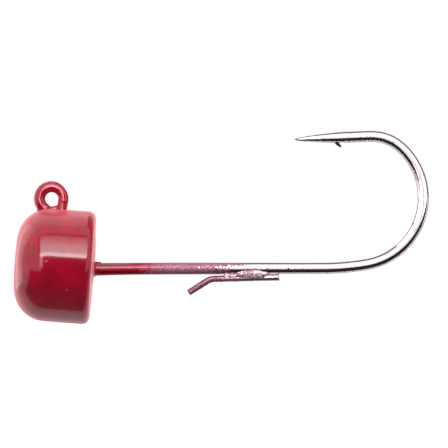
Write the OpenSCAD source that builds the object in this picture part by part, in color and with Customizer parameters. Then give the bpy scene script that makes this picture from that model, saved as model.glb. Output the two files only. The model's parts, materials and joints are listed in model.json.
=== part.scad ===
// Jig head: a lead head cast round the eye end of a bent fishing hook, powder coated,
// with a short keeper wire soldered under the shank.
// The origin is on the shank's axis, on the flat pad that the bait butts against.
// +X runs along the shank towards the bend, +Z points to the side of the hook's point,
// and +Y is the axis of the line eye.

/* [Head] */
// Largest diameter, at the back of the head
head_d = 11.36; // [10.6:0.02:13]
// Length of the head, from the bait pad to the nose
head_len = 7.95; // [7:0.05:10]
// Angle of the head's axis to the shank
head_tilt = 3.8; // [0:0.1:6]
// Draft of the head's side
head_draft = 0.7; // [0:0.1:3]
// Radius of the rounded shoulder between the side and the nose
shoulder_r = 3.2; // [2:0.1:4]
// Radius of the shallow dome on the nose
nose_r = 31.5; // [20:0.5:60]
// Radius of the edge round the back face
back_edge_r = 0.8; // [0.5:0.05:1.2]
// Diameter of the low pad on the back face
pad_d = 5.1; // [4:0.1:6]
// Height of the pad above the back face
pad_h = 0.25; // [0.2:0.05:0.6]
// Distance of the pad's centre above the shank
pad_offset = 0.7; // [0:0.1:0.9]

/* [Hook] */
// Diameter of the wire
wire_d = 1.09; // [0.9:0.01:1.2]
// Straight length of the shank, from the pad to the bend
shank_len = 22.8; // [20:0.1:30]
// Centreline radii of the bend, from the shank to the point leg
bend_radii = [27.4, 6.76, 4.16];
// Angles that the three radii turn through
bend_angles = [9.4, 130.1, 42.9];
// Straight length from the end of the bend to the tip
point_leg_len = 7.6; // [5:0.1:9]
// Length of the ground point
point_len = 4.5; // [4.3:0.1:5]
// Radius left at the tip
tip_r = 0.03; // [0.02:0.01:0.1]

/* [Barb] */
// Distance of the barb's root from the tip
barb_from_tip = 4.2; // [3:0.1:4.3]
// Length of the barb
barb_len = 0.64; // [0.4:0.02:1]
// Angle that the barb is lifted off the wire
barb_angle = 49; // [30:1:60]
// Thickness of the barb at its root
barb_root = 0.3; // [0.2:0.02:0.5]
// Width of the barb across the wire
barb_w = 0.46; // [0.3:0.02:0.7]

/* [Line eye] */
// Distance of the eye's centre ahead of the pad
eye_ahead = 4.23; // [4:0.01:4.6]
// Height of the eye's centre above the shank
eye_height = 6.95; // [6.85:0.01:7.3]
// Centreline radius of the eye ring
eye_ring_r = 1.14; // [1.12:0.01:1.2]
// Diameter of the wire in the ring, which is ground thinner than the shank
eye_wire_d = 0.84; // [0.8:0.01:0.86]
// Angle that the wire turns through in the ring
eye_turn = 292; // [270:1:296]
// Lean of the leg that joins the ring to the shank
leg_lean = 10; // [6:1:12]
// Centreline radius where the leg bends into the shank
leg_bend_r = 1.2; // [1:0.1:1.4]
// Radius of the hole that the line passes through
eye_hole_r = 0.64; // [0.62:0.01:0.66]

/* [Powder coat] */
// Thickness on the head
head_coat_t = 0.12; // [0.08:0.01:0.2]
// Thickness on the eye
eye_coat_t = 0.12; // [0.12:0.01:0.14]
// Thickness of the web of coat inside the ring
eye_web_t = 0.5; // [0.4:0.02:0.6]
// Length of shank that the coat covers
shank_coat_len = 11; // [6:0.5:12]
// Thickness on the shank
shank_coat_t = 0.04; // [0.03:0.01:0.08]
// Radius of the coat's collar round the shank, where it leaves the head
collar_r = 0.85; // [0.8:0.05:1.2]
// Length of the collar
collar_len = 0.45; // [0.3:0.05:1]

/* [Bait keeper] */
// Diameter of the keeper wire
keeper_d = 0.62; // [0.5:0.02:0.7]
// Distance of the soldered end from the pad
keeper_end_x = 18.5; // [17.8:0.1:19]
// Gap between the shank and the soldered end
keeper_end_gap = 0.05; // [0.02:0.01:0.08]
// Length that lies along the shank
keeper_run = 6.5; // [6:0.05:7]
// Angle that this length makes with the shank
keeper_slope = 1.3; // [0.5:0.1:1.6]
// Centreline radius of the bend into the free arm
keeper_bend_r = 1.6; // [1:0.1:2.5]
// Angle that the free arm is bent down by
keeper_bend = 31; // [15:0.5:45]
// Length of the free arm
keeper_arm = 1.9; // [1:0.1:3]

/* [Solder] */
// Length of the solder joint
solder_len = 4.7; // [3:0.1:5]
// Distance of its middle from the pad
solder_x = 15.3; // [15:0.1:15.6]
// Depth of its middle below the shank's axis
solder_z = 0.47; // [0.44:0.01:0.5]
// Radius at its middle
solder_r = 0.62; // [0.6:0.01:0.66]

/* [Hidden] */
$fn = 96;

// How far a cutting shape runs past what it cuts
past = 1;
// How far the ball that welds two runs of wire stands out of them
weld = 0.006;
// The turn from one point of a drawn arc to the next
arc_step = 5;

// Distance of the flat back face from the pad, along the head's axis
back_u = pad_h;
// Angle that the wire turns through between the shank and the leg
leg_turn = 90 + leg_lean;
// Where the leg meets the ring as a tangent
ring_start_x = -eye_ahead + eye_ring_r * cos(leg_lean);
ring_start_z = eye_height - eye_ring_r * sin(leg_lean);
// Where the leg's line crosses the shank's axis
leg_foot_x = ring_start_x - ring_start_z * tan(leg_lean);
// Length that the leg's bend takes from each of the two straight lines
leg_tangent = leg_bend_r * tan(leg_turn / 2);
leg_len = ring_start_z / cos(leg_lean) - leg_tangent;
// Straight length of shank inside the head
shank_in_head = -leg_foot_x - leg_tangent;
// Height of the keeper's soldered end
keeper_end_z = -(wire_d + keeper_d) / 2 - keeper_end_gap;

// Points along an arc about the centre c, from one angle to another
function arc_points(c, r, from, to) = [
    let (n = ceil(abs(to - from) / arc_step))
    for (i = [0:n])
    let (a = from + (to - from) * i / n)
    [c[0] + r * cos(a), c[1] + r * sin(a)]
];

// The head's outline is given as [radius, distance from the pad towards the nose]. The
// shoulder's arc touches the side, and it touches the nose's dome from the inside.
nose_c = head_len - nose_r;
function shoulder_at(u) = [
    head_d / 2 - (u - back_u) * tan(head_draft) - shoulder_r / cos(head_draft),
    u
];
function shoulder_miss(u) = norm(shoulder_at(u) - [0, nose_c]) - (nose_r - shoulder_r);
function shoulder_search(low, high, tries) =
    let (mid = (low + high) / 2)
    tries == 0 ? mid
    : shoulder_miss(mid) > 0 ? shoulder_search(low, mid, tries - 1)
    : shoulder_search(mid, high, tries - 1);
shoulder_tries = 40;
shoulder_c = shoulder_at(shoulder_search(back_u, head_len, shoulder_tries));
// Direction from the dome's centre to where the shoulder meets it
nose_join = atan2(shoulder_c[1] - nose_c, shoulder_c[0]);
// Centre of the edge round the back face
back_edge_c = [
    head_d / 2 - back_edge_r * tan(head_draft) - back_edge_r / cos(head_draft),
    back_u + back_edge_r
];

// Half of the head's outline, moved inwards by inset
function head_outline(inset) = concat(
    [[0, back_u + inset]],
    arc_points(back_edge_c, back_edge_r - inset, -90, head_draft),
    arc_points(shoulder_c, shoulder_r - inset, head_draft, nose_join),
    arc_points([0, nose_c], nose_r - inset, nose_join, 90)
);

// The head's body and its pad, with their surface moved inwards by inset
module head_solid(inset) {
    rotate([0, head_tilt - 90, 0]) {
        rotate_extrude()
        polygon(head_outline(inset));
        translate([pad_offset, 0, inset])
        cylinder(d = pad_d - 2 * inset, h = back_u + past);
    }
}

// A cone or cylinder along the shank's axis, from one distance from the pad to another
module along_shank(from, to, r_from, r_to) {
    translate([from, 0, 0])
    rotate([0, 90, 0])
    cylinder(r1 = r_from, r2 = r_to, h = to - from);
}

// Runs of round wire in the XZ plane. Each starts where the last one ended, with a ball
// that welds the two into one solid, and the first starts at the origin along +X. A run is
// ["straight", length, end diameter], or ["arc", centreline radius, angle] turning to +Z.
module wire_runs(runs, d, i = 0) {
    if (i < len(runs)) {
        run = runs[i];
        if (i > 0)
            sphere(d = d + 2 * weld);
        if (run[0] == "straight") {
            rotate([0, 90, 0])
            cylinder(d1 = d, d2 = run[2], h = run[1]);
            translate([run[1], 0, 0])
            wire_runs(runs, run[2], i + 1);
        } else {
            translate([0, 0, run[1]])
            rotate([90, 0, 0])
            rotate([0, 0, -90])
            rotate_extrude(angle = run[2])
            translate([run[1], 0])
            circle(d = d);
            translate([run[1] * sin(run[2]), 0, run[1] * (1 - cos(run[2]))])
            rotate([0, -run[2], 0])
            wire_runs(runs, d, i + 1);
        }
    }
}

// Moves a shape from the origin to the end of the runs, turned the way the wire heads there
module at_end_of(runs, i = 0) {
    if (i == len(runs)) {
        children();
    } else if (runs[i][0] == "straight") {
        translate([runs[i][1], 0, 0])
        at_end_of(runs, i + 1)
        children();
    } else {
        translate([runs[i][1] * sin(runs[i][2]), 0, runs[i][1] * (1 - cos(runs[i][2]))])
        rotate([0, -runs[i][2], 0])
        at_end_of(runs, i + 1)
        children();
    }
}

// The shank and the bend
bend_runs = [
    ["straight", shank_len, wire_d],
    ["arc", bend_radii[0], bend_angles[0]],
    ["arc", bend_radii[1], bend_angles[1]],
    ["arc", bend_radii[2], bend_angles[2]]
];

// From the pad forwards into the head, then up the leg to the ring
leg_runs = [
    ["straight", shank_in_head, wire_d],
    ["arc", leg_bend_r, leg_turn],
    ["straight", leg_len, eye_wire_d]
];

// The straight leg from the bend to the tip, from the origin along +X, with its ground point
point_steps = 14;
// The point's radius grows as this power of the distance from the tip
point_fullness = 0.6;
function point_radius(from_tip) =
    tip_r + (wire_d / 2 - tip_r) * pow(from_tip / point_len, point_fullness);
module point_leg() {
    sphere(d = wire_d + 2 * weld);
    rotate([0, 90, 0])
    rotate_extrude()
    polygon(concat(
        [[0, 0], [wire_d / 2, 0]],
        [
            for (i = [0:point_steps])
            let (from_tip = point_len * (1 - i / point_steps))
            [point_radius(from_tip), point_leg_len - from_tip]
        ],
        [[0, point_leg_len]]
    ));
}

// The barb stands on the point's side that faces the shank, and leans away from the tip
barb_outline = [
    [-barb_root, -barb_root / 2],
    [barb_len * 0.5, -barb_root * 0.42],
    [barb_len * 0.9, -barb_root * 0.2],
    [barb_len, 0],
    [barb_len * 0.9, barb_root * 0.12],
    [barb_len * 0.45, barb_root * 0.36],
    [-barb_root, barb_root / 2]
];
module barb() {
    translate([point_leg_len - barb_from_tip, 0, point_radius(barb_from_tip)])
    rotate([0, barb_angle - 180, 0])
    rotate([90, 0, 0])
    linear_extrude(barb_w, center = true)
    polygon(barb_outline);
}

// A ring of round wire about the eye's centre, from the leg round to the angle turn
module eye_ring(d, turn) {
    translate([-eye_ahead, 0, eye_height])
    rotate([90, 0, 0])
    rotate([0, 0, -leg_lean])
    rotate_extrude(angle = turn)
    translate([eye_ring_r, 0])
    circle(d = d);
}

// A disc about the eye's axis
module across_eye(r, thickness) {
    translate([-eye_ahead, 0, eye_height])
    rotate([90, 0, 0])
    cylinder(r = r, h = thickness, center = true);
}

// The part of the hook wire ahead of the pad
module eye_end() {
    mirror([1, 0, 0]) {
        wire_runs(leg_runs, wire_d);
        at_end_of(leg_runs)
        sphere(d = eye_wire_d + 2 * weld);
    }
    eye_ring(eye_wire_d, eye_turn);
}

module hook() {
    color("silver") {
        sphere(d = wire_d + 2 * weld);
        wire_runs(bend_runs, wire_d);
        at_end_of(bend_runs) {
            point_leg();
            barb();
        }
        eye_end();
    }
}

module lead_head() {
    color("dimgray")
    difference() {
        head_solid(head_coat_t);
        eye_end();
    }
}

// The outside of the head's coat, with its collar round the shank
module coated_head() {
    head_solid(0);
    along_shank(-collar_len, collar_len, 2 * collar_r - wire_d / 2 - shank_coat_t,
        wire_d / 2 + shank_coat_t);
}

module head_coat() {
    color("firebrick")
    difference() {
        coated_head();
        head_solid(head_coat_t);
        along_shank(-collar_len - past, collar_len + past, wire_d / 2, wire_d / 2);
        eye_end();
    }
}

// The coat on the ring and on the top of the leg. A web of it closes the ring under the
// wire's end and lines the hole, which is round right through.
module eye_coat() {
    coated_d = eye_wire_d + 2 * eye_coat_t;
    color("firebrick")
    difference() {
        union() {
            eye_ring(coated_d, eye_turn);
            mirror([1, 0, 0])
            at_end_of(leg_runs) {
                sphere(d = coated_d + 2 * weld);
                rotate([0, -90, 0])
                cylinder(d = coated_d, h = 2 * eye_ring_r);
            }
            across_eye(eye_ring_r, eye_web_t);
        }
        head_solid(0);
        eye_end();
        across_eye(eye_hole_r, eye_web_t + past);
    }
}

module shank_coat() {
    coated_r = wire_d / 2 + shank_coat_t;
    color("indianred")
    difference() {
        along_shank(collar_len, shank_coat_len, coated_r, coated_r);
        along_shank(0, shank_coat_len + past, wire_d / 2, wire_d / 2);
    }
}

module keeper_wire() {
    color("rosybrown")
    translate([keeper_end_x, 0, keeper_end_z])
    rotate([0, 180 - keeper_slope, 0])
    wire_runs([
        ["straight", keeper_run, keeper_d],
        ["arc", keeper_bend_r, keeper_bend],
        ["straight", keeper_arm, keeper_d]
    ], keeper_d);
}

// The bead of solder is a spindle that lies in the groove between the two wires
module solder_joint() {
    // Radius of the arc through the spindle's ends and its middle
    arc_r = (pow(solder_len / 2, 2) + pow(solder_r, 2)) / (2 * solder_r);
    color("lightgray")
    difference() {
        translate([solder_x, 0, -solder_z])
        rotate([0, 90, 0])
        rotate_extrude()
        intersection() {
            translate([solder_r - arc_r, 0])
            circle(r = arc_r);
            translate([0, -solder_len])
            square(2 * solder_len);
        }
        along_shank(solder_x - solder_len, solder_x + solder_len, wire_d / 2, wire_d / 2);
        keeper_wire();
    }
}

lead_head();
hook();
head_coat();
eye_coat();
shank_coat();
keeper_wire();
solder_joint();
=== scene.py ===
"""A powder-coated mushroom jig head on a bent hook, with a soldered keeper wire."""

import itertools
import json
import math

import bpy
import numpy as np
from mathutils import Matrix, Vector


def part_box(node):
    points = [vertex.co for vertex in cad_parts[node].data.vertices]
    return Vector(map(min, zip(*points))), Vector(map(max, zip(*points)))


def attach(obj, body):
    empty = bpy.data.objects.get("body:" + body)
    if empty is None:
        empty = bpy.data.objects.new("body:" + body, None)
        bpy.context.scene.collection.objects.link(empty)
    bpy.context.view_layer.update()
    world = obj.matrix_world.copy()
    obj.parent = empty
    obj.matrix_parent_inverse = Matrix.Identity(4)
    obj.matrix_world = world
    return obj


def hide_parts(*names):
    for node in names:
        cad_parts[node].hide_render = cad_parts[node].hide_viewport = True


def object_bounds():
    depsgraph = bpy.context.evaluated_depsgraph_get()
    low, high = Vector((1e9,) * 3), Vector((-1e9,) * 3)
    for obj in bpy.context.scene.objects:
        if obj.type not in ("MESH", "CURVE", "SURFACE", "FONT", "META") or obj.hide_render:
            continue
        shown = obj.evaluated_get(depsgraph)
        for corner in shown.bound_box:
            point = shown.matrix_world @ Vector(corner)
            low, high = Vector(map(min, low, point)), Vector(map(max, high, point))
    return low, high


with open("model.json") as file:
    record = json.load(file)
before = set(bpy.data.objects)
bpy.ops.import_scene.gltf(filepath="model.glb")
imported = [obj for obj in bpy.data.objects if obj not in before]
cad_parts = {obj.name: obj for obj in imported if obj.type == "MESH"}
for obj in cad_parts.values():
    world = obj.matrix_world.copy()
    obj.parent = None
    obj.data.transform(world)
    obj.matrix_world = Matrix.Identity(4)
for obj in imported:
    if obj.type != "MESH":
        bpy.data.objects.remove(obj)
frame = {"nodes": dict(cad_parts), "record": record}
cad_lo, cad_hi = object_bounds()
mounts = {m["name"]: m for m in frame["record"]["mounts"]}
scene = bpy.context.scene

# Shapes are worked out in millimetres, in the frame's axes, and go to Blender in metres.
MM = 0.001
EYE = np.array(mounts["line_tie"]["pos_m"]) / MM
SEAT_AXIS = np.array(mounts["bait_seat"]["axis"])
WIRE_R = mounts["bait_shank"]["dims"]["r_mm"]
SHANK_LEN = mounts["bait_shank"]["dims"]["length_mm"]
HEAD_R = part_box("head_coat")[1].y / MM
KEEPER_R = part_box("keeper_wire")[1].y / MM


# --- numbers and noise -------------------------------------------------------------------


def ramp(x, start, end):
    """0 before start and 1 after end, with a smooth rise between them."""
    t = np.clip((x - start) / (end - start), 0, 1)
    return t * t * (3 - 2 * t)


def hashed(cell, seed):
    """A fixed number from -1 to 1 for each whole-number cell."""
    h = cell[:, 0] * 73856093 ^ cell[:, 1] * 19349663 ^ cell[:, 2] * 83492791
    h = (h ^ seed * 40503 ^ (h >> 13)) * 1274126177
    h ^= h >> 16
    return (h & 0xFFFF) / 32767.5 - 1


def noise(p, size, seed):
    """Smooth noise from -1 to 1, with lumps about size across."""
    q = p / size
    cell = np.floor(q).astype(np.int64)
    f = q - cell
    f = f * f * f * (f * (f * 6 - 15) + 10)
    total = np.zeros(len(p))
    for corner in itertools.product((0, 1), repeat=3):
        share = np.prod(np.where(corner, f, 1 - f), axis=1)
        total += share * hashed(cell + corner, seed)
    return total


# --- solid shapes as signed distances ----------------------------------------------------


def blend_in(a, b, k):
    """Both shapes, with a fillet of size k where they meet."""
    h = np.clip(0.5 + 0.5 * (b - a) / k, 0, 1)
    return b + (a - b) * h - k * h * (1 - h)


def both(a, b, r):
    """What is inside both shapes, with the edge where they meet rounded to r."""
    x, y = a + r, b + r
    return np.minimum(np.maximum(x, y), 0) + np.hypot(np.maximum(x, 0), np.maximum(y, 0)) - r


def ball(p, centre, r):
    return np.linalg.norm(p - centre, axis=1) - r


def rod(p, start, end, r):
    start, line = np.array(start), np.array(end) - np.array(start)
    t = np.clip((p - start) @ line / (line @ line), 0, 1)
    return np.linalg.norm(p - start - t[:, None] * line, axis=1) - r


# The head's profile, as in the CAD: a drafted side, a rounded shoulder and a shallow dome
HEAD_LEN = 7.95
DRAFT = math.radians(0.7)
SHOULDER_R, NOSE_R, BACK_EDGE_R = 3.2, 31.5, 0.75
PAD_R, PAD_H, PAD_OFFSET = 2.55, 0.25, 0.7
# How far the head's back lies under the pad's face, and the pad's sloping edge
BACK_AT = 0.14
PAD_SLOPE, PAD_EDGE = math.radians(16), 0.25
NOSE_C = HEAD_LEN - NOSE_R


def shoulder_centre():
    """Where the shoulder's arc touches both the side and the dome."""
    low, high = PAD_H, HEAD_LEN
    for _ in range(50):
        u = (low + high) / 2
        r = HEAD_R - (u - PAD_H) * math.tan(DRAFT) - SHOULDER_R / math.cos(DRAFT)
        if math.hypot(r, u - NOSE_C) > NOSE_R - SHOULDER_R:
            high = u
        else:
            low = u
    return r, u


SHOULDER_C = shoulder_centre()
NOSE_JOIN = math.atan2(SHOULDER_C[1] - NOSE_C, SHOULDER_C[0])


def head_axes(p):
    """Each point's place across the head, upwards and sideways, and along it to the nose."""
    up = np.array([-SEAT_AXIS[2], 0, SEAT_AXIS[0]])
    return p @ up, p[:, 1], -(p @ SEAT_AXIS)


def head_body(p):
    a, b, u = head_axes(p)
    r = np.hypot(a, b)
    side = (r - HEAD_R) * math.cos(DRAFT) + (u - PAD_H) * math.sin(DRAFT)
    back = both(side, BACK_AT - u, BACK_EDGE_R)
    turn = np.arctan2(u - SHOULDER_C[1], r - SHOULDER_C[0])
    shoulder = np.hypot(r - SHOULDER_C[0], u - SHOULDER_C[1]) - SHOULDER_R
    dome = np.hypot(r, u - NOSE_C) - NOSE_R
    return np.where(turn >= NOSE_JOIN, dome, np.where(turn >= DRAFT, shoulder, back))


def near_surface(x, z):
    """The point of the head's near side at this place."""
    y = np.linspace(-HEAD_R - 0.3, 0, 1200)
    p = np.stack([np.full_like(y, x), y, np.full_like(y, z)], axis=1)
    return p[np.argmax(head_body(p) < 0)]


# Dust nibs under the gloss, as [along, up, radius]
NIBS = [(-3.6, 4.58, 0.10), (-6.1, 4.46, 0.08), (-4.55, 0.68, 0.07), (-2.55, -2.12, 0.08),
        (-6.0, 2.45, 0.05), (-6.62, 2.95, 0.08), (-6.58, 2.75, 0.08), (-6.54, 2.55, 0.07)]
nib_points = [(near_surface(x, z), r) for x, z, r in NIBS]
SLEEVE_R = WIRE_R + 0.04
# Next to the head the coat on the shank is this much thicker, and sags by this much
COLLAR_FILM, COLLAR_SAG = 0.065, 0.095


def painted_head(p):
    a, b, u = head_axes(p)
    body = head_body(p)
    past_edge = np.hypot(a - PAD_OFFSET, b) - PAD_R + PAD_EDGE
    pad = both(past_edge * math.sin(PAD_SLOPE) - u * math.cos(PAD_SLOPE), -u, 0.1)
    pad = np.maximum(pad, u - 0.45)
    shape = blend_in(body, pad, 0.12)
    # The meniscus where the paint runs from the pad on to the shank
    out = np.hypot(p[:, 1], p[:, 2] + COLLAR_SAG)
    stub = out - (SLEEVE_R + COLLAR_FILM) + 0.06 * ramp(p[:, 0], 0.45, 0.95)
    stub = np.maximum(stub, np.abs(p[:, 0]) - 1.0)
    shape = blend_in(shape, stub, 0.42)
    # Lumps of paint by the shank, at the top of the back and on the pad
    shape = blend_in(shape, rod(p, (0.2, -0.1, 0.5), (0.6, -0.08, 0.48), 0.16), 0.08)
    shape = blend_in(shape, ball(p, (-0.08, -0.3, 4.75), 0.13), 0.1)
    shape = blend_in(shape, ball(p, (-0.02, -1.2, 1.45), 0.1), 0.08)
    for centre, r in nib_points:
        shape = blend_in(shape, ball(p, centre, r), 0.08)
    return shape


def orange_peel(p):
    return 0.006 * noise(p, 1.9, 1) + 0.0016 * noise(p, 0.55, 2)


def head_coat(p):
    return painted_head(p) - orange_peel(p)


# The ring's radius, its thickness, and the angles at which its wire starts and ends
RING_R, COATED_R = 1.165, 0.515
RING_FROM, RING_TO = -10, 236


def swell(angle):
    """The extra paint round the ring's top and front."""
    return 0.05 * (1 - ramp(np.abs(angle - 145), 50, 110))


def eye_coat(p):
    q = p - EYE
    x, y, z = q.T
    middle, half = (RING_FROM + RING_TO) / 2, (RING_TO - RING_FROM) / 2
    turn = (np.degrees(np.arctan2(z, x)) - middle + 180) % 360 - 180
    extra = swell(turn + middle)
    ring = np.hypot(np.hypot(x, z) - RING_R - extra, y) - COATED_R - extra
    ends = []
    for angle in (RING_FROM, RING_TO):
        out = np.array([math.cos(math.radians(angle)), 0, math.sin(math.radians(angle))])
        ends.append(ball(q, (RING_R + swell(angle)) * out, COATED_R + swell(angle)))
    ring = np.where(np.abs(turn) <= half, ring, np.minimum(*ends))
    start = RING_R * np.array([math.cos(math.radians(RING_FROM)), 0, math.sin(math.radians(RING_FROM))])
    lean = math.radians(90 + RING_FROM)
    leg = rod(q, start, start - 2.2 * np.array([math.cos(lean), 0, math.sin(lean)]), COATED_R)
    shape = blend_in(ring, leg, 0.06)
    # The web of paint that closes the ring under the wire's end
    web = rod(q, (-0.62, 0, -1.12), (0.86, 0, -0.9), 0.27)
    shape = blend_in(shape, web, 0.14)
    # The paint under the ring's free end
    foot = rod(q, (-1.13, 0, -0.95), (-1.16, 0, -1.6), 0.33)
    shape = blend_in(shape, foot, 0.12)
    # The head, a hair under its own skin, so that only the fillet stands out of it
    shape = blend_in(shape, head_body(p) + 0.016, 0.13)
    reach = np.maximum(np.hypot(x, 1.4 * y) - 2.3, -1.9 - z)
    shape = np.maximum(shape, reach)
    return shape - 0.003 * noise(p, 1.2, 3)


SOLDER_X, SOLDER_HALF = 15.85, 1.85


def solder(p):
    """A lumpy bead that thins out at both ends, with a thin run towards the head."""
    x, y, z = p.T
    t = (x - SOLDER_X) / SOLDER_HALF
    r = 0.6 * np.sqrt(np.clip(1 - np.abs(t) ** 2.2, 0, 1)) + 0.02
    shape = (np.hypot(y * 0.98, z + 0.5 + 0.05 * t) - r) * 0.8
    shape = np.maximum(shape, np.abs(x - SOLDER_X) - SOLDER_HALF)
    shape = blend_in(shape, rod(p, (13.2, -0.08, -0.8), (14.6, -0.1, -0.72), 0.25), 0.25)
    return shape - 0.04 * noise(p, 0.42, 5) - 0.03 * noise(p, 0.2, 6) - 0.012 * noise(p, 0.1, 7)


# --- meshes ------------------------------------------------------------------------------


def slope(shape, p, step=0.004):
    """The direction in which the distance grows fastest at each point."""
    grad = np.empty_like(p)
    for axis in range(3):
        shift = np.zeros(3)
        shift[axis] = step
        grad[:, axis] = (shape(p + shift) - shape(p - shift)) / (2 * step)
    return grad


def skin(shape, lo, hi, step):
    """Points and four-sided faces on the surface where the distance is 0."""
    axes = [np.arange(a, b + step, step) for a, b in zip(lo, hi)]
    values = np.empty([len(a) for a in axes])
    across = np.stack(np.meshgrid(axes[1], axes[2], indexing="ij"), -1).reshape(-1, 2)
    for i, x in enumerate(axes[0]):
        p = np.column_stack([np.full(len(across), x), across])
        values[i] = shape(p).reshape(values.shape[1:])
    inside = values < 0
    corners = list(itertools.product((0, 1), repeat=3))
    count = sum(inside[a : a - 1 or None, b : b - 1 or None, c : c - 1 or None].astype(np.int8)
                for a, b, c in corners)
    cells = np.argwhere((count > 0) & (count < 8))
    number = np.full(count.shape, -1)
    number[tuple(cells.T)] = np.arange(len(cells))
    # Each cell that the surface passes through gets one point, amid its crossed edges
    total, hits = np.zeros((len(cells), 3)), np.zeros(len(cells))
    for a, b in itertools.combinations(range(8), 2):
        start, end = np.array(corners[a]), np.array(corners[b])
        if abs(end - start).sum() != 1:
            continue
        v, w = values[tuple((cells + start).T)], values[tuple((cells + end).T)]
        crossed = (v < 0) != (w < 0)
        t = np.where(crossed, v / np.where(crossed, v - w, 1), 0)
        total += crossed[:, None] * (start + t[:, None] * (end - start))
        hits += crossed
    points = np.array(lo) + step * (cells + total / hits[:, None])
    faces = []
    for order in ((0, 1, 2), (1, 2, 0), (2, 0, 1)):
        s, n = inside.transpose(order), number.transpose(order)
        i, j, k = np.nonzero(s[:-1, 1:-1, 1:-1] != s[1:, 1:-1, 1:-1])
        j, k = j + 1, k + 1
        quad = np.stack([n[i, j - 1, k - 1], n[i, j, k - 1], n[i, j, k], n[i, j - 1, k]], 1)
        faces.append(np.where(s[i, j, k][:, None], quad, quad[:, ::-1]))
    faces = np.concatenate(faces)
    # The points even out along the surface and are put back on it
    edges = np.concatenate([faces[:, [i, (i + 1) % 4]] for i in range(4)])
    for even in (0, 0.5, 0.5, 0.3):
        if even:
            near, degree = np.zeros_like(points), np.zeros(len(points))
            np.add.at(near, edges[:, 0], points[edges[:, 1]])
            np.add.at(degree, edges[:, 0], 1)
            points = points + even * (near / degree[:, None] - points)
        for _ in range(2):
            grad = slope(shape, points)
            size = np.maximum((grad**2).sum(1), 0.05)
            move = np.clip(shape(points) / size, -step, step)
            points = points - move[:, None] * grad
    grad = slope(shape, points)
    return points, faces, grad / np.linalg.norm(grad, axis=1)[:, None]


def make(name, points, faces, material, nodes, normals=None):
    """A piece from points in millimetres, which stands for these CAD nodes."""
    mesh = bpy.data.meshes.new(name)
    mesh.from_pydata((np.asarray(points) * MM).tolist(), [], [list(f) for f in faces])
    mesh.validate()
    mesh.polygons.foreach_set("use_smooth", [True] * len(mesh.polygons))
    if normals is not None:
        mesh.normals_split_custom_set_from_vertices(normals.tolist())
    mesh.materials.append(material)
    piece = bpy.data.objects.new(name, mesh)
    scene.collection.objects.link(piece)
    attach(piece, "root")
    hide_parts(*nodes)
    return piece


def skin_piece(name, shape, lo, hi, step, material, nodes):
    points, faces, normals = skin(shape, lo, hi, step * (1))
    return make(name, points, faces.tolist(), material, nodes, normals)


def path_points(start, heading, runs, spacing):
    """Points and headings along runs of [length, turn in degrees], in the XZ plane."""
    places, headings = [np.array(start, float)], [heading]
    for length, turn in runs:
        steps = max(1, round(length / spacing))
        for _ in range(steps):
            middle = math.radians(headings[-1] + turn / steps / 2)
            stride = length / steps
            places.append(places[-1] + stride * np.array([math.cos(middle), math.sin(middle)]))
            headings.append(headings[-1] + turn / steps)
    return np.array(places), np.array(headings)


def tube(places, headings, radii, sides, change=None):
    """A round bar along a path in the XZ plane, closed at both ends."""
    turn = np.radians(headings)
    inward = np.stack([-np.sin(turn), np.zeros_like(turn), np.cos(turn)], 1)
    centre = np.stack([places[:, 0], np.zeros(len(places)), places[:, 1]], 1)
    around = 2 * np.pi * np.arange(sides) / sides
    n = radii[:, None] * np.cos(around)
    y = -radii[:, None] * np.sin(around)
    if change is not None:
        n, y = change(n, y)
    points = centre[:, None] + n[..., None] * inward[:, None] + y[..., None] * np.array([0, 1, 0])
    count = len(places)
    points = np.concatenate([points.reshape(-1, 3), centre[[0, -1]]])
    i, j = np.meshgrid(np.arange(count - 1), np.arange(sides), indexing="ij")
    k = (j + 1) % sides
    quads = np.stack([i * sides + j, (i + 1) * sides + j, (i + 1) * sides + k, i * sides + k], -1)
    faces = quads.reshape(-1, 4).tolist()
    first, last = count * sides, count * sides + 1
    for j in range(sides):
        k = (j + 1) % sides
        faces.append([first, j, k])
        faces.append([last, (count - 1) * sides + k, (count - 1) * sides + j])
    return points, faces


def length_along(places):
    return np.concatenate([[0], np.cumsum(np.linalg.norm(np.diff(places, axis=0), axis=1))])


def soften(headings, spacing, reach):
    """Headings along a path with their sudden changes of curvature smoothed out."""
    n = round(3 * reach / spacing)
    weight = np.exp(-0.5 * (np.arange(-n, n + 1) * spacing / reach) ** 2)
    padded = np.concatenate([np.full(n, headings[0]), headings, np.full(n, headings[-1])])
    return np.convolve(padded, weight / weight.sum(), "valid")


# --- materials ---------------------------------------------------------------------------


def node(tree, kind, values=None, **settings):
    made = tree.nodes.new(kind)
    for key, value in settings.items():
        setattr(made, key, value)
    for key, value in (values or {}).items():
        if isinstance(value, bpy.types.NodeSocket):
            tree.links.new(value, made.inputs[key])
        else:
            made.inputs[key].default_value = value
    return made


def calc(tree, kind, a, b=0.0, c=0.0):
    return node(tree, "ShaderNodeMath", {0: a, 1: b, 2: c}, operation=kind).outputs[0]


def rise(tree, value, start, end, low=0.0, high=1.0):
    """low before start, high after end."""
    values = {"Value": value, 1: start, 2: end, 3: low, 4: high}
    return node(tree, "ShaderNodeMapRange", values, interpolation_type="SMOOTHSTEP").outputs[0]


def within(tree, value, start, end, soft):
    """1 between start and end, and 0 outside."""
    up = rise(tree, value, start - soft, start + soft)
    down = rise(tree, value, end - soft, end + soft, 1.0, 0.0)
    return calc(tree, "MULTIPLY", up, down)


def mix(tree, share, a, b):
    """The number a, or b where share is 1."""
    made = node(tree, "ShaderNodeMix", {0: share, 2: a, 3: b}, data_type="FLOAT")
    return made.outputs[0]


def mix_colour(tree, share, a, b):
    made = node(tree, "ShaderNodeMix", {0: share, 6: a, 7: b}, data_type="RGBA")
    return made.outputs[2]


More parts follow.
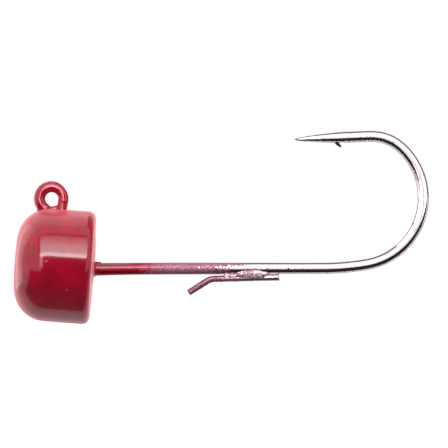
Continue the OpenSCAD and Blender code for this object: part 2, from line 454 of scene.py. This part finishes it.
def new_material(name):
    material = bpy.data.materials.new(name)
    material.use_nodes = True
    tree = material.node_tree
    tree.nodes.clear()
    place = node(tree, "ShaderNodeTexCoord").outputs["Object"]
    mm = node(tree, "ShaderNodeVectorMath", {0: place, 3: 1 / MM}, operation="SCALE").outputs[0]
    return material, tree, mm


def speckle(tree, mm, scale, detail=3.0, roughness=0.6):
    values = {"Vector": mm, "Scale": scale, "Detail": detail, "Roughness": roughness}
    return node(tree, "ShaderNodeTexNoise", values).outputs[0]


def surface(tree, colour, roughness, metallic=0.0, extra=None):
    values = {"Base Color": colour, "Roughness": roughness, "Metallic": metallic}
    return node(tree, "ShaderNodeBsdfPrincipled", values | (extra or {})).outputs[0]


def bump(tree, height, strength, distance):
    values = {"Height": height, "Strength": strength, "Distance": distance}
    return node(tree, "ShaderNodeBump", values).outputs[0]


def finish_material(tree, shader):
    node(tree, "ShaderNodeOutputMaterial", {"Surface": shader})


PAINT = (0.245, 0.001, 0.013, 1)
PAINT_DEEP = (0.186, 0.0007, 0.010, 1)
FILM_PINK = (0.33, 0.105, 0.16, 1)
FILM_PURPLE = (0.13, 0.05, 0.085, 1)
NICKEL = (0.90, 0.82, 0.81, 1)
# The coat's faint dust, and a dark edge tint that paints shade into the rims of the metals
HAZE = {"Sheen Weight": 1.0, "Sheen Roughness": 0.42, "Sheen Tint": (1, 0.28, 0.33, 1)}
DARK_RIM_TINT = {"Specular Tint": (0.1, 0.09, 0.09, 1)}


def red_gloss(name, foot_roughness, extra):
    material, tree, mm = new_material(name)
    cloud = rise(tree, speckle(tree, mm, 0.5, 2.0), 0.35, 0.65)
    colour = mix_colour(tree, cloud, PAINT_DEEP, PAINT)
    grain = bump(tree, speckle(tree, mm, 4.0, 2.0), 0.12, 0.000012)
    # The powder flowed out less smoothly round the eye's foot
    foot = (EYE[0], 0, HEAD_R)
    away = node(tree, "ShaderNodeVectorMath", {0: mm, 1: foot}, operation="DISTANCE").outputs["Value"]
    rough = rise(tree, away, 1.6, 4.2, foot_roughness, 0.12)
    finish_material(tree, surface(tree, colour, rough, extra=extra | {"Normal": grain}))
    return material


def painted_wire(tip_x):
    """Solid red at the head, which thins to pink specks and then to bare nickel."""
    material, tree, mm = new_material("nickel_wire")
    parts = node(tree, "ShaderNodeSeparateXYZ", {0: mm})
    x, z = parts.outputs[0], parts.outputs[2]
    low = rise(tree, z, 3.0, 5.0, 1.0, 0.0)
    coarse, fine = speckle(tree, mm, 2.6), speckle(tree, mm, 7.5, 1.0)
    grain = calc(tree, "ADD", calc(tree, "MULTIPLY", coarse, 0.5), calc(tree, "MULTIPLY", fine, 0.5))
    spread = calc(tree, "SUBTRACT", grain, 0.5)

    solid = calc(tree, "MULTIPLY_ADD", spread, 9.0, x)
    solid = calc(tree, "MULTIPLY", rise(tree, solid, 4.4, 7.4, 1.0, 0.0), low)
    film = calc(tree, "MULTIPLY_ADD", spread, 22.0, calc(tree, "MULTIPLY_ADD", z, -3.5, x))
    film = calc(tree, "MULTIPLY", rise(tree, film, 12.4, 14.8, 1.0, 0.0), low)
    specks = rise(tree, speckle(tree, mm, 4.2, 1.0), 0.665, 0.695, 0.0, 0.85)

    paint = surface(tree, PAINT_DEEP, 0.09)
    tone = rise(tree, fine, 0.42, 0.58)
    tint = mix_colour(tree, tone, FILM_PURPLE, FILM_PINK)
    rough = rise(tree, fine, 0.35, 0.65, 0.6, 0.38)
    thin = surface(tree, tint, rough, 0.25)
    specks_and_darker_tip = mix_colour(tree, specks, NICKEL, (0.06, 0.03, 0.035, 1))
    # The metal is darker towards the tip
    darker_tip = calc(tree, "MULTIPLY", rise(tree, x, tip_x + 0.2, tip_x + 1.5, 0.8, 0.0), rise(tree, z, 8, 10))
    specks_and_darker_tip = mix_colour(tree, darker_tip, specks_and_darker_tip, (0.10, 0.08, 0.08, 1))
    wear = rise(tree, speckle(tree, mm, 1.2, 2.0), 0.4, 0.7, 0.09, 0.15)
    # The edge tint paints the bare metal's rims darker, as painted shade
    bare = surface(tree, specks_and_darker_tip, wear, 1.0, DARK_RIM_TINT)
    shader = node(tree, "ShaderNodeMixShader", {0: film, 1: bare, 2: thin}).outputs[0]
    shader = node(tree, "ShaderNodeMixShader", {0: solid, 1: shader, 2: paint}).outputs[0]
    finish_material(tree, shader)
    return material


def dusty_wire():
    material, tree, mm = new_material("keeper_steel")
    x = node(tree, "ShaderNodeSeparateXYZ", {0: mm}).outputs[0]
    coarse, fine = speckle(tree, mm, 2.6), speckle(tree, mm, 6.0, 2.0)
    grain = calc(tree, "ADD", calc(tree, "MULTIPLY", coarse, 0.5), calc(tree, "MULTIPLY", fine, 0.5))
    spread = calc(tree, "SUBTRACT", grain, 0.5)
    cover = calc(tree, "MULTIPLY_ADD", spread, 18.0, x)
    film = rise(tree, cover, 12.0, 17.0, 0.95, 0.25)
    tint = mix_colour(tree, rise(tree, fine, 0.4, 0.6), (0.11, 0.035, 0.055, 1), (0.28, 0.09, 0.13, 1))
    # The edge tint paints the keeper's rims darker, as painted shade
    thin = surface(tree, tint, 0.4, 0.5, DARK_RIM_TINT)
    bare = surface(tree, (0.6, 0.5, 0.52, 1), rise(tree, fine, 0.4, 0.6, 0.15, 0.35), 1.0, DARK_RIM_TINT)
    shader = node(tree, "ShaderNodeMixShader", {0: film, 1: bare, 2: thin}).outputs[0]
    finish_material(tree, shader)
    return material


def frosted_solder():
    material, tree, mm = new_material("solder")
    coarse, fine = speckle(tree, mm, 2.4), speckle(tree, mm, 6.0)
    tint = mix_colour(tree, rise(tree, coarse, 0.45, 0.6), (0.58, 0.42, 0.48, 1), (0.24, 0.10, 0.16, 1))
    rough = rise(tree, fine, 0.4, 0.6, 0.3, 0.5)
    # The edge tint paints the solder's rims darker, as painted shade
    finish_material(tree, surface(tree, tint, rough, 0.6, DARK_RIM_TINT))
    return material


def plain(name, colour, roughness, metallic=0.0):
    material, tree, mm = new_material(name)
    shade = rise(tree, speckle(tree, mm, 0.8), 0.3, 0.7, 0.94, 1.0)
    tone = mix_colour(tree, shade, tuple(0.8 * c for c in colour[:3]) + (1,), colour)
    finish_material(tree, surface(tree, tone, roughness, metallic))
    return material


red = red_gloss("red_powder_coat", 0.36, HAZE)
eye_red = red_gloss("red_powder_coat_eye", 0.12, {})

# --- the head and the eye ----------------------------------------------------------------

skin_piece("head_coat", head_coat, (-8.3, -5.95, -5.95), (1.3, 5.95, 6.1), 0.075,
           red, ["head_coat"])
eye = skin_piece("eye_coat", eye_coat, EYE + (-2.5, -1.8, -2.1), EYE + (2.5, 1.8, 1.9), 0.04,
                 eye_red, ["eye_coat"])

lead = frame["nodes"]["lead_head"]
lead.data.materials.clear()
lead.data.materials.append(plain("cast_lead", (0.33, 0.34, 0.36, 1), 0.55, 0.9))

# --- the hook ----------------------------------------------------------------------------

SPACING = 0.1
EYE_R = 1.14
LEG_LEAN, LEG_BEND_R = 10, 1.2
# The bend's arcs, as [radius, degrees]
BEND = [(27.4, 9.4), (6.76, 130.1), (4.16, 42.9)]
POINT_LEG, POINT_LEN, TIP_R = 7.6, 4.5, 0.03
BARB_AT, BARB_LEN, BARB_ANGLE = 4.2, 0.66, 47
CUT_LEN, CUT_DEEP = 0.85, 0.14
# How far the radii of the ground point and of the wire run into each other
GRIND_SOFT = 0.012
# The wire is thinner inside the head and the eye, to leave room for the coat
LEG_THINNER = 0.125

rear_runs = [(SHANK_LEN, 0)]
rear_runs += [(r * math.radians(a), a) for r, a in BEND]
rear_runs += [(POINT_LEG, 0)]
rear, rear_turn = path_points((0, 0), 0, rear_runs, SPACING)
steps = length_along(rear)
rear_turn = soften(rear_turn, SPACING, 0.45)
middle = np.radians((rear_turn[1:] + rear_turn[:-1]) / 2)
stride = np.diff(steps)[:, None] * np.stack([np.cos(middle), np.sin(middle)], 1)
rear = np.concatenate([[[0, 0]], np.cumsum(stride, axis=0)])

leg_turn = 90 + LEG_LEAN
leg_tangent = LEG_BEND_R * math.tan(math.radians(leg_turn / 2))
lean = math.radians(LEG_LEAN)
ring_x, ring_z = EYE[0] + EYE_R * math.cos(lean), EYE[2] - EYE_R * math.sin(lean)
foot_x = ring_x - ring_z * math.tan(lean)
front_runs = [(-foot_x - leg_tangent, 0),
              (LEG_BEND_R * math.radians(leg_turn), -leg_turn),
              (ring_z / math.cos(lean) - leg_tangent, 0),
              (EYE_R * math.radians(RING_TO - RING_FROM - 4), RING_TO - RING_FROM - 4)]
front, front_turn = path_points((0, 0), 180, front_runs, SPACING)

places = np.concatenate([front[:0:-1], rear])
headings = np.concatenate([front_turn[:0:-1] - 180, rear_turn])
along = length_along(places)
origin_at = along[len(front) - 1]
total = along[-1]

# Closer rings along the point, so that the barb's cut and the tip are crisp
dense = np.concatenate([np.arange(0, total - POINT_LEG, SPACING),
                        np.arange(total - POINT_LEG, total - 0.5, 0.04),
                        total - np.geomspace(0.5, 0.008, 24), [total]])
places = np.stack([np.interp(dense, along, places[:, 0]), np.interp(dense, along, places[:, 1])], 1)
headings = np.interp(dense, along, headings)
from_tip = total - dense
along_shank = dense - origin_at

ground = TIP_R + (WIRE_R - TIP_R) * (from_tip / POINT_LEN) ** 0.6
radii = -GRIND_SOFT * np.log(np.exp(-ground / GRIND_SOFT) + np.exp(-WIRE_R / GRIND_SOFT))
radii = np.where(from_tip > POINT_LEN + 1.5, WIRE_R, radii)
radii *= np.clip(from_tip / 0.03, 0, 1) ** 0.5
# The paint thins out along the shank, and it ran down round the shank next to the head
painted = ramp(along_shank, -0.6, 0)
from_head = np.maximum(along_shank, 0)
film = painted * (0.04 * (1 - ramp(from_head, 8, 24)) + COLLAR_FILM * np.exp(-from_head / 3))
sag = painted * (0.015 * (1 - ramp(from_head, 16, 26)) + COLLAR_SAG * np.exp(-from_head / 4))
radii = radii + film - LEG_THINNER * ramp(-along_shank, 3.5, 5.5)


def run_and_cut(n, y):
    """The paint's sag, and the flat where the barb's sliver was cut up from the wire."""
    behind = from_tip - (BARB_AT - 0.12)
    depth = np.where((behind > 0) & (behind < CUT_LEN), CUT_DEEP * (1 - behind / CUT_LEN), 0)
    rough = 0.010 * noise(np.stack([dense * 8, n[:, 0] * 0, n[:, 0] * 0], 1), 1.0, 8)
    top = radii - depth + np.where(depth > 0, rough, 0)
    return np.minimum(n, top[:, None]) - sag[:, None], y


points, faces = tube(places, headings, radii, 64, run_and_cut)


def barb_mesh():
    """A blade that stands out of the wire towards the shank and leans back to the bend."""
    i = np.argmin(np.abs(from_tip - BARB_AT))
    turn = math.radians(headings[i])
    ahead = np.array([math.cos(turn), 0, math.sin(turn)])
    inward = np.array([-math.sin(turn), 0, math.cos(turn)])
    base = np.array([places[i, 0], 0, places[i, 1]]) + inward * (radii[i] - 0.03)
    t = np.linspace(-0.3, BARB_LEN, 26)
    lift = math.radians(BARB_ANGLE) + 0.16 * (t - 0.2)
    centre = base + t[:, None] * (-ahead * np.cos(lift)[:, None] + inward * np.sin(lift)[:, None])
    sidewards = ahead * np.sin(lift)[:, None] + inward * np.cos(lift)[:, None]
    reach = np.clip(t / BARB_LEN, 0, 1)
    thick = 0.2 * (1 - reach**2.4) + 0.012
    wide = 0.22 * (1 - 0.75 * reach**1.5) * np.sqrt(np.clip(1 - reach**6, 0.02, 1))
    around = 2 * np.pi * np.arange(20) / 20
    c, s = np.cos(around), np.sin(around)
    c, s = np.sign(c) * np.abs(c) ** 0.7, np.sign(s) * np.abs(s) ** 0.7
    rings = centre[:, None] + (thick[:, None] * c)[..., None] * sidewards[:, None]
    # A wedge, thick at its root's edge and thin where it was sliced
    rings = rings + (wide[:, None] * s * (0.55 - 0.45 * c))[..., None] * np.array([0, 1, 0])
    n, m = rings.shape[:2]
    faces = [[i * m + j, i * m + (j + 1) % m, (i + 1) * m + (j + 1) % m, (i + 1) * m + j]
             for i in range(n - 1) for j in range(m)]
    faces.append(list(range(m))[::-1])
    faces.append([(n - 1) * m + j for j in range(m)])
    return rings.reshape(-1, 3), faces


barb_points, barb_faces = barb_mesh()
offset = len(points)
points = np.concatenate([points, barb_points])
faces += [[i + offset for i in f] for f in barb_faces]
hook = make("hook", points, faces, painted_wire(places[-1, 0]), ["hook", "shank_coat"])

# --- the keeper and its solder -----------------------------------------------------------

KEEPER_SLOPE, KEEPER_BEND_R, KEEPER_BEND = 1.3, 1.6, 31
KEEPER_RUN, KEEPER_ARM, KEEPER_GAP = 6.42, 2.14, 0.05
KEEPER_EDGE_R, KEEPER_SPACING = 0.09, 0.05
end_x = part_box("keeper_wire")[1].x / MM
end_z = -(WIRE_R + KEEPER_R) - KEEPER_GAP
keeper_runs = [(KEEPER_RUN, 0),
               (KEEPER_BEND_R * math.radians(KEEPER_BEND), KEEPER_BEND),
               (KEEPER_ARM, 0)]
keeper_path, keeper_turn = path_points((end_x, end_z), 180 + KEEPER_SLOPE, keeper_runs, KEEPER_SPACING)
keeper_turn = soften(keeper_turn, KEEPER_SPACING, 0.2)
run = length_along(keeper_path)
to_end = np.minimum(run, run[-1] - run)
short_of_edge = 1 - np.clip(to_end / KEEPER_EDGE_R, 0, 1)
keeper_radii = KEEPER_R - KEEPER_EDGE_R * (1 - np.sqrt(1 - short_of_edge**2))
keeper_radii *= 1 - 0.03 * noise(np.stack([run, run * 0, run * 0], 1), 0.6, 9)
points, faces = tube(keeper_path, keeper_turn, keeper_radii, 40)
# The soldered end was clipped at a slant
slant = np.clip((points[:, 0] - (end_x - 0.4)) / 0.4, 0, 1)
points[:, 0] -= 0.12 * slant * (points[:, 2] - end_z) / KEEPER_R * 0.5
keeper = make("keeper_wire", points, faces, dusty_wire(), ["keeper_wire"])

bead = skin_piece("solder_joint", solder, (12.6, -0.95, -1.35), (18.1, 0.95, 0.35), 0.04,
                  frosted_solder(), ["solder_joint"])

# --- the floor ---------------------------------------------------------------------------

FLOOR_R, FLOOR_Z = 0.6, cad_lo.z - 6 * MM
floor_at = (0.013, 0, FLOOR_Z)
bpy.ops.mesh.primitive_circle_add(vertices=96, radius=FLOOR_R, fill_type="NGON", location=floor_at)
floor = bpy.context.object
floor.name = "floor"
floor.data.materials.append(plain("pale_floor", (0.9, 0.9, 0.9, 1), 0.9))
# The floor is only looked at and only takes shadows, so that it doesn't change the studio
floor.visible_glossy = floor.visible_diffuse = floor.visible_shadow = False

# --- the studio --------------------------------------------------------------------------


def studio():
    """A light tent: a white wall behind, a large soft box above the camera and a dark floor
    in front."""
    world = bpy.data.worlds.new("studio")
    scene.world = world
    world.use_nodes = True
    tree = world.node_tree
    tree.nodes.clear()
    way = node(tree, "ShaderNodeTexCoord").outputs["Generated"]
    parts = node(tree, "ShaderNodeSeparateXYZ", {0: way})
    x, y, z = parts.outputs
    degrees = 180 / math.pi
    # How far round to the right, how far over from the front, and how far from straight behind
    aside = calc(tree, "MULTIPLY", calc(tree, "ARCSINE", x), degrees)
    over = calc(tree, "ARCTAN2", z, calc(tree, "MULTIPLY", y, -1.0))
    over = calc(tree, "MULTIPLY", over, degrees)
    behind = calc(tree, "MULTIPLY", calc(tree, "ARCCOSINE", y), degrees)

    # The white wall behind, inside a dark frame
    ring = within(tree, behind, 46, 86, 4)
    light = mix(tree, ring, mix(tree, rise(tree, behind, 50, 66), 1.15, 1.5), 0.18)
    # The table under the object, white behind and dark in front
    under = within(tree, over, -200, -100, 3)
    light = mix(tree, under, light, 1.0)
    dark = within(tree, over, -100, -12, 1.5)
    dark = calc(tree, "MULTIPLY", dark, rise(tree, aside, -66, -58))
    light = mix(tree, dark, light, 0.03)
    # The dark surround of the soft box, and the camera under it
    gap = calc(tree, "MULTIPLY", within(tree, over, 12, 69, 1.5), within(tree, aside, -28, 45, 2))
    light = mix(tree, gap, light, 0.25)
    camera = calc(tree, "MULTIPLY", within(tree, over, -25, 20, 1.5), within(tree, aside, -18, 30, 2))
    light = mix(tree, camera, light, 0.06)
    # A strip light left of the camera
    strip = calc(tree, "MULTIPLY", within(tree, over, -3, 22, 2), within(tree, aside, -23, -13, 1.5))
    light = mix(tree, strip, light, 4.5)
    # The soft box, brightest along its lower edge
    box = calc(tree, "MULTIPLY", within(tree, over, 19.6, 65, 0.8), within(tree, aside, -23, 39, 1.2))
    fade = mix(tree, rise(tree, over, 22, 31), 17.0, 7.5)
    fade = mix(tree, rise(tree, over, 32, 66), fade, 2.2)
    light = mix(tree, box, light, fade)

    seen = node(tree, "ShaderNodeLightPath").outputs["Is Camera Ray"]
    light = mix(tree, seen, calc(tree, "MULTIPLY", light, 0.8), 1.0)
    # The dark parts of the studio are warm
    warm = mix_colour(tree, rise(tree, light, 0.0, 0.5), (1, 0.74, 0.74, 1), (1, 1, 1, 1))
    back = node(tree, "ShaderNodeBackground", {"Color": warm, "Strength": light})
    node(tree, "ShaderNodeOutputWorld", {"Surface": back.outputs[0]})


def panel(name, at, towards, width, height, radiance, only=(), colour=(1, 1, 1)):
    """A soft light panel, which lights everything or only these pieces."""
    lamp = bpy.data.lights.new(name, "AREA")
    lamp.shape, lamp.size, lamp.size_y = "RECTANGLE", width, height
    lamp.energy = radiance * math.pi * width * height
    lamp.color = colour
    shown = bpy.data.objects.new(name, lamp)
    shown.location = at
    shown.rotation_euler = (Vector(towards) - Vector(at)).to_track_quat("-Z", "Y").to_euler()
    shown.visible_camera = False
    scene.collection.objects.link(shown)
    if only:
        group = bpy.data.collections.new(name + "_on")
        for piece in only:
            group.objects.link(piece)
        shown.light_linking.receiver_collection = group


studio()
middle_point = (cad_lo + cad_hi) / 2
fill_at = (middle_point.x, -0.3, 0.013)
panel("front_fill", fill_at, middle_point, 0.8, 0.19, 0.86, [hook, keeper, bead])
eye_at = Vector(EYE.tolist()) * MM
panel("eye_light", eye_at + Vector((0.016, -0.3, 0.045)), eye_at, 0.11, 0.11, 12.0, [eye])

# Two small warm cards close to the head, out of the picture to its left and over it
WARM = (1, 0.84, 0.84)
panel("side_card", (-0.028, 0.011, 0.012), (0.5, 0.011, 0.012), 0.026, 0.040, 2.15, colour=WARM)
panel("top_card", (-0.014, 0.014, 0.036), (-0.014, 0.014, -0.5), 0.034, 0.032, 1.65, colour=WARM)

# --- the camera --------------------------------------------------------------------------

# The lens and the sensor in millimetres, and the width of the view at the object
LENS, SENSOR, WIDTH = 400, 36, 0.0448
camera = bpy.data.objects.new("camera", bpy.data.cameras.new("camera"))
camera.data.lens, camera.data.sensor_width = LENS, SENSOR
target = middle_point + Vector((0.26, 0, 0.36)) * MM
camera.location = target - Vector((0, WIDTH * LENS / SENSOR, 0))
camera.rotation_euler = (math.radians(90), 0, 0)
camera.data.clip_start, camera.data.clip_end = 0.01, 10
scene.collection.objects.link(camera)
scene.camera = camera
scene.view_settings.view_transform = "Standard"
